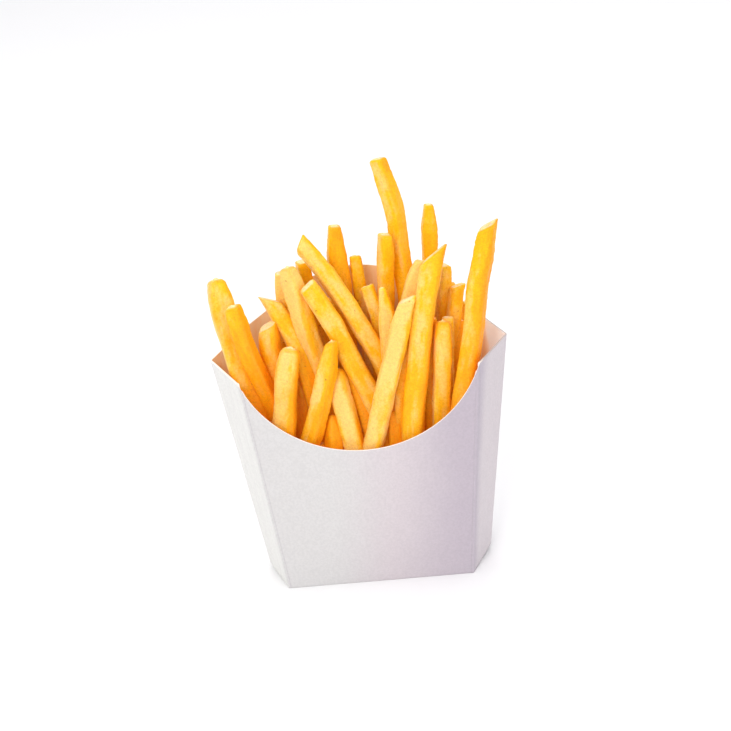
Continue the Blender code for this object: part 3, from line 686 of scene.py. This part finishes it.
def fry(tip, bend, foot, width, thickness, turn, end, gold, draw, step=FRY_STEP, around=FRY_AROUND):
    """A stick cut square, fried: a rounded square section carried along the parabola through foot, bend
    and tip. One parameter runs round the section, the other from the foot along the stick, round the rim
    of the cut and in to the middle of the cut face. The section's radius is one over the p-th root of
    the sum of the cosine's and the sine's p-th powers, a little hollow in the middle of each face;
    dents, blisters and chipped edges are added outwards."""
    share, slant_across, slant_deep, rim, dish, lateness = ENDS[end]
    tip, bend, foot = (np.array(place, float) for place in (tip, bend, foot))
    length = np.linalg.norm(tip - bend) + np.linalg.norm(bend - foot)
    body = np.linspace(-length, -rim, int((length - rim) / step))
    turns, rings = len(RIM_TURNS), len(CUT_RINGS)
    along_way = np.concatenate([body, -rim + rim * np.sin(RIM_TURNS), np.zeros(rings)])
    inset = np.concatenate([np.zeros(len(body)), rim * (1 - np.cos(RIM_TURNS)), np.full(rings, rim)])
    shrink = np.concatenate([np.ones(len(body) + turns), CUT_RINGS])
    shrink[0] = FOOT_SHARE
    on_cut = np.concatenate([np.zeros(len(body)), RIM_PALENESS, np.ones(rings)])
    cut_face = on_cut == 1

    t = 1 + along_way / length
    tt = t[:, None]
    centre = parabola(tip, bend, foot, tt)
    along = unit(foot * (4 * tt - 3) + bend * (4 - 8 * tt) + tip * (4 * tt - 1))
    across = unit(np.cross((0.0, 1.0, 0.0), along))
    deep = np.cross(along, across)
    line = along_way[:, None]

    def along_ripple(change):
        return change[0] * ripple(line, change[1], draw, LONG_WAVES)

    fade = ease((1 - tt) * BEND_FADE + BEND_AT_TIP)
    centre = centre + across * along_ripple(BEND_ACROSS)[:, None] * fade
    centre = centre + deep * along_ripple(BEND_DEEP)[:, None] * fade

    late = np.clip((t - LATE_TAPER_FROM) / (1 - LATE_TAPER_FROM), 0, 1) ** lateness
    taper = 1 - (1 - share) * late
    half_wide = (width / 2 * taper * (1 + along_ripple(WIDTH_CHANGE)) - inset) * shrink
    half_thick = (thickness / 2 * taper * (1 + along_ripple(THICKNESS_CHANGE)) - inset) * shrink
    angle = np.radians(turn + draw.uniform(-TWIST, TWIST) * (t - TWIST_ABOUT))[:, None]
    u = across * np.cos(angle) + deep * np.sin(angle)
    w = deep * np.cos(angle) - across * np.sin(angle)

    even = np.arange(around) / around * 2 * np.pi
    phi = even + CORNER_CROWDING * np.sin(4 * even)
    power = SECTION_POWER
    radius = (np.abs(np.cos(phi)) ** power + np.abs(np.sin(phi)) ** power) ** (-1 / power)
    hollow = (FACE_HOLLOW * (1 + along_ripple(HOLLOW_CHANGE)))[:, None]
    hollow = 1 - hollow * np.cos(2 * phi)[None] ** 2
    x = half_wide[:, None] * radius * np.cos(phi) * hollow
    y = half_thick[:, None] * radius * np.sin(phi) * hollow
    points = centre[:, None] + u[:, None] * x[..., None] + w[:, None] * y[..., None]
    outwards = unit(points - centre[:, None])
    steep = np.sign(x) * np.abs(x / half_wide[:, None]) ** (power - 1) / half_wide[:, None]
    level = np.sign(y) * np.abs(y / half_thick[:, None]) ** (power - 1) / half_thick[:, None]
    facing = unit(u[:, None] * steep[..., None] + w[:, None] * level[..., None])

    edge = np.abs(np.sin(2 * phi))[None] ** 3 * np.ones_like(x)
    full = (np.minimum(half_wide, half_thick) / (min(width, thickness) / 2))[:, None]
    push = DENTS[0] * ripple(points, DENTS[1], draw)
    push = push + BLISTERS[0] * ripple(points, BLISTERS[1], draw)
    push = push - EDGE_CHIPS[0] * edge * np.abs(ripple(points, EDGE_CHIPS[1], draw))
    points = points + outwards * (push * np.clip(full * THIN_FROM, 0, 1))[..., None]

    offset = points - centre[:, None]
    slant = slant_across * (offset * across[:, None]).sum(-1) + slant_deep * (offset * deep[:, None]).sum(-1)
    reach = SLANT_REACH + SLANT_SPREAD * abs(slant_across)
    slant = slant * ease((along_way + reach) / reach)[:, None]
    sink = np.where(cut_face, dish * (1 - shrink ** 2), 0.0)
    rough = CUT_ROUGHNESS[0] * ripple(points, CUT_ROUGHNESS[1], draw) * cut_face[:, None]
    points = points + along[:, None] * (slant - sink[:, None] + rough)[..., None]

    # Painted light and shade: cream on the left flank, amber on the right, fading towards the back
    side = -(FLANK_ROUND * outwards[..., 0] + FLANK_FLAT * facing[..., 0])
    side = side * ease(FLANK_FADE_START - FLANK_FADE * outwards[..., 1])
    low_pole = points[0].mean(0)
    high_pole = points[-1].mean(0) - along[-1] * dish * LAST_OF_DISH
    quads, fans = tube_faces(len(points), around)
    edge[-(turns + rings):] = 1.0
    edge[-(rings + 1):] = CUT_EDGE_SHARE
    marks = {
        "gold": np.full(x.size + 2, gold),
        "edge": np.concatenate([edge.ravel(), [0, 0]]),
        "cut": np.concatenate([np.repeat(on_cut, around), [0, 1]]),
        "side": np.concatenate([side.ravel(), [0, 0]]),
    }
    skin = np.stack([x, y, SKIN_STRETCH * line * np.ones_like(x)], -1).reshape(-1, 3)
    skin = skin + draw.uniform(0, SKIN_SPAN, 3)
    marks["skin"] = np.concatenate([skin, skin[[0, -1]]]) * MM
    return np.concatenate([points.reshape(-1, 3), [low_pole, high_pole]]), quads, fans, marks


def middle_line(shape):
    """Points of a fry's middle line, along its parabola from foot to tip."""
    tip, bend, foot = (np.array(place, float) for place in shape[:3])
    return parabola(tip, bend, foot, np.linspace(0, 1, LINE_PIECES + 1)[:, None])


def mark_closeness(shapes, surfaces):
    """Adds the mark "close" to each fry: 1 where another fry touches it, falling to 0 at a few
    millimetres' gap. The gap is the distance to the other's middle line less half its thickness. The
    fries' material paints shade, in amber, and a faint glow by this mark."""
    lines = [middle_line(shape) for shape in shapes]
    for own, (points, _, _, marks) in enumerate(surfaces):
        gap = np.full(len(points), FAR, np.float32)
        for other, line in enumerate(lines):
            reach = np.linalg.norm(lines[own][:, None] - line[None], axis=-1).min()
            if other == own or reach > CLOSE_REACH:
                continue
            for start, end in zip(line[:-1], line[1:]):
                way = end - start
                share = np.clip((points - start) @ way / (way @ way), 0, 1)[:, None]
                away = np.linalg.norm(points - start - share * way, axis=1)
                gap = np.minimum(gap, away - min(shapes[other][3:5]) / 2)
        marks["close"] = 1 - ease(gap / CLOSE_GAP)


def bundle(name, surfaces, material):
    """Several closed surfaces in one mesh."""
    points, quads, fans, marks, count = [], [], [], {}, 0
    for p, q, f, m in surfaces:
        points.append(p)
        quads.append(q + count)
        fans.append(f + count)
        count += len(p)
        for key, values in m.items():
            marks.setdefault(key, []).append(values)
    marks = {key: np.concatenate(values) for key, values in marks.items()}
    return mesh_piece(name, np.concatenate(points), np.concatenate(quads), np.concatenate(fans),
                      [material], marks)


def middle_at(shape, height):
    """Where a fry's middle line passes the given height, by straight lines through its three points."""
    tip, bend, foot = shape[:3]
    high, low = (tip, bend) if height > bend[2] else (bend, foot)
    share = (height - low[2]) / (high[2] - low[2])
    return low[0] + (high[0] - low[0]) * share, low[1] + (high[1] - low[1]) * share


def fill_fries(standing):
    """Low fries on a grid behind the scoop, nudged by a seeded draw and left out where a fry stands."""
    draw = random.Random(FILL_SEED)
    made = []
    columns = int(2 * FILL_HALF_SPAN / FILL_STEP)
    rows = int((FILL_BACK - FILL_FRONT) / FILL_STEP)
    for row in range(rows + 1):
        for column in range(columns + 1):
            x = column * FILL_STEP - FILL_HALF_SPAN + draw.uniform(-FILL_NUDGE_ACROSS, FILL_NUDGE_ACROSS)
            y = row * FILL_STEP + FILL_FRONT + draw.uniform(-FILL_NUDGE_DEEP, FILL_NUDGE_DEEP)
            rise = (y - FILL_FRONT) / (FILL_BACK - FILL_FRONT)
            top = FILL_TOP_FRONT + (FILL_TOP_BACK - FILL_TOP_FRONT) * rise + draw.uniform(*FILL_TOP_DRAW)
            size = draw.uniform(*FILL_SIZE_DRAW)
            lean = draw.uniform(-FILL_LEAN, FILL_LEAN)
            turn = draw.uniform(-FILL_TURN, FILL_TURN)
            y = min(FILL_BACK, y)
            if abs(x) > FILL_HALF_SPAN - FILL_SPAN_LOSS * abs(y):
                continue
            level = top - FILL_TEST_DEPTH
            tall = [shape for shape in standing + made if shape[0][2] > level]
            places = [(middle_at(shape, level), shape[3]) for shape in tall]
            if any(math.dist((x, y), spot) < FILL_KEEP_OFF * (size + width) / 2
                   for spot, width in places):
                continue
            foot = (x * FILL_FOOT_SHARE, y * FILL_FOOT_SHARE, FILL_FOOT)
            tip = (x + lean, y, top)
            bend = tuple((a + b) / 2 for a, b in zip(foot, tip))
            thickness = size * FILL_THICKNESS_SHARE
            made.append((tip, bend, foot, size, thickness, turn, "square", FILL_SHADE_GOLD))
    return made


def core():
    """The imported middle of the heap: the carton's hexagon drawn in, straight up to a sloping top and
    then in to the middle. One parameter runs round it and the other up and over; the top is ridged."""
    draw = np.random.default_rng(CORE_SEED)
    ring = np.array([(-1, -1), (0, -1), (1, -1), (1, 0), (1, 1), (0, 1), (-1, 1), (-1, 0)], float)
    top = CORE_FRONT_TOP + (CORE_BACK_TOP - CORE_FRONT_TOP) * (ring[:, 1] + 1) / 2

    def corners(level):
        z = CORE_BOTTOM + (top - CORE_BOTTOM) * level
        fold_z = np.maximum(z, CORE_FOLD_BOTTOM)
        fold = straight(FOLD_LOW_WIDTH, FOLD_HIGH_WIDTH, fold_z, FOLD_LOW, FOLD_HIGH) - CORE_FOLD_CLEARANCE
        at_fold = ring[:, 1] == 0
        x = ring[:, 0] * np.where(at_fold, fold, crease_width(z) - CORE_CLEARANCE)
        y = ring[:, 1] * (crease_depth(z) - CORE_CLEARANCE)
        return np.stack([x, y, np.where(at_fold, fold_z, z)], -1)

    def smooth_round(points):
        share = np.arange(CORE_EDGE_STEPS)[None, :, None] / CORE_EDGE_STEPS
        return (points[:, None] * (1 - share) + np.roll(points, -1, 0)[:, None] * share).reshape(-1, 3)

    sides = [smooth_round(corners(level)) for level in np.linspace(0, 1, CORE_LEVELS)]
    rim = sides[-1]
    over = []
    for inwards in CORE_CAP_RINGS:
        lift = CORE_CAP_RISE * ease((1 - inwards) / (1 - CORE_CAP_SHARE))
        over.append(rim * (inwards, inwards, 1.0) + (0, 0, lift))
    rows = np.stack(sides + over)
    cap = rows[CORE_LEVELS:]
    cap[..., 2] += CORE_RIDGES[0] * ripple(cap * (1, 1, CORE_RIDGE_FLATNESS), CORE_RIDGES[1], draw)
    cap[..., 2] = np.minimum(cap[..., 2], CORE_BACK_TOP + CORE_CAP_RISE)
    around = rows.shape[1]
    poles = [rows[0].mean(0), rows[-1].mean(0)]
    quads, fans = tube_faces(len(rows), around)
    points = np.concatenate([rows.reshape(-1, 3), poles])
    flat = np.zeros(len(points))
    # The core takes full painted shade: deep gold and marked close all over
    return points, quads, fans, {
        "gold": flat + CORE_SHADE_GOLD, "edge": flat, "cut": flat, "side": flat, "close": flat + 1,
        "skin": points * MM}


# Camera, light and floor


def camera():
    """The photograph's viewpoint: above the table, a little to the right, slightly rolled."""
    rise, turn, roll = math.radians(CAMERA_RISE), math.radians(CAMERA_TURN), math.radians(CAMERA_ROLL)
    aim = Vector(CAMERA_AIM)
    back = Vector((math.sin(turn) * math.cos(rise), -math.cos(turn) * math.cos(rise), math.sin(rise)))
    right = Vector((math.cos(turn), math.sin(turn), 0.0))
    up = right.cross(-back)
    rolled_right = right * math.cos(roll) - up * math.sin(roll)
    rolled_up = right * math.sin(roll) + up * math.cos(roll)
    data = bpy.data.cameras.new("camera")
    data.sensor_width, data.lens = CAMERA_SENSOR, CAMERA_LENS
    data.clip_start, data.clip_end = CAMERA_NEAREST, CAMERA_FARTHEST
    made = bpy.data.objects.new("camera", data)
    columns = Matrix((rolled_right, rolled_up, back)).transposed()
    made.matrix_world = Matrix.Translation(aim + back * CAMERA_DISTANCE) @ columns.to_4x4()
    bpy.context.scene.collection.objects.link(made)
    bpy.context.scene.camera = made


def lamp(name, place, aim, size, power, colour):
    """A round lamp at a place, turned to its aim."""
    data = bpy.data.lights.new(name, "AREA")
    data.shape, data.size, data.energy, data.color = "DISK", size, power, colour
    made = bpy.data.objects.new(name, data)
    made.location = place
    made.rotation_euler = (Vector(place) - Vector(aim)).to_track_quat("Z", "Y").to_euler()
    bpy.context.scene.collection.objects.link(made)


def studio():
    """A soft lamp high in front, a little to the left, a weaker one on the right, one above, one over
    the floor behind, and a pale room."""
    middle = (0.0, 0.0, LAMP_AIM_HEIGHT)
    lamp("key", (-0.34, -1.00, 0.80), middle, 0.6, 6.4, (1.0, 0.98, 0.95))
    lamp("fill", (1.00, -0.45, 0.60), middle, 1.0, 2.8, (0.97, 0.96, 1.0))
    lamp("top", (-0.1, 0.2, 1.1), middle, 1.0, 3.4, (1.0, 0.98, 0.95))
    lamp("far_floor", (0.0, 1.1, 1.3), (0.0, 0.95, 0.0), 1.2, 3.0, (1.0, 1.0, 1.0))
    world = bpy.data.worlds.new("room")
    bpy.context.scene.world = world
    world.use_nodes = True
    world.node_tree.nodes["Background"].inputs["Color"].default_value = ROOM_COLOUR
    world.node_tree.nodes["Background"].inputs["Strength"].default_value = ROOM_STRENGTH
    bpy.context.scene.view_settings.view_transform = "Standard"

    floor = Finish("pale_floor", Roughness=0.9)
    floor.set("Base Color", floor.blend(floor.noise(3.0), (0.93, 0.93, 0.93), (0.95, 0.95, 0.95)))
    places, steps = np.linspace(-TABLE_HALF, TABLE_HALF, TABLE_POINTS), np.arange(TABLE_POINTS - 1)
    x, y = np.meshgrid(places, places)
    points = np.stack([x, y, np.full_like(x, -TABLE_DROP)], -1).reshape(-1, 3)
    corner = (steps[:, None] * TABLE_POINTS + steps[None]).ravel()
    quads = np.stack([corner, corner + 1, corner + TABLE_POINTS + 1, corner + TABLE_POINTS], -1)
    mesh_piece("table_top", points, quads, np.zeros((0, 3), int), [floor.material])


def dress(piece, node):
    """Sets a piece in the place of its solid, still on the part's one body."""
    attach(piece, "root")
    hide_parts(node)


potato = fried_potato()
standing = [shape for row in (FRONT_ROW, MIDDLE_ROW, BACK_ROW) for shape in row.values()]
low = fill_fries(standing)
draw = np.random.default_rng(FRY_SEED)
surfaces = [fry(*shape, draw) for shape in standing]
surfaces += [fry(*shape, draw, step=LOW_FRY_STEP, around=LOW_FRY_AROUND) for shape in low]
mark_closeness(standing + low, surfaces)

dress(carton(), "carton")
dress(bundle("fries_heap", surfaces + [core()], potato), "fries")
studio()
camera()
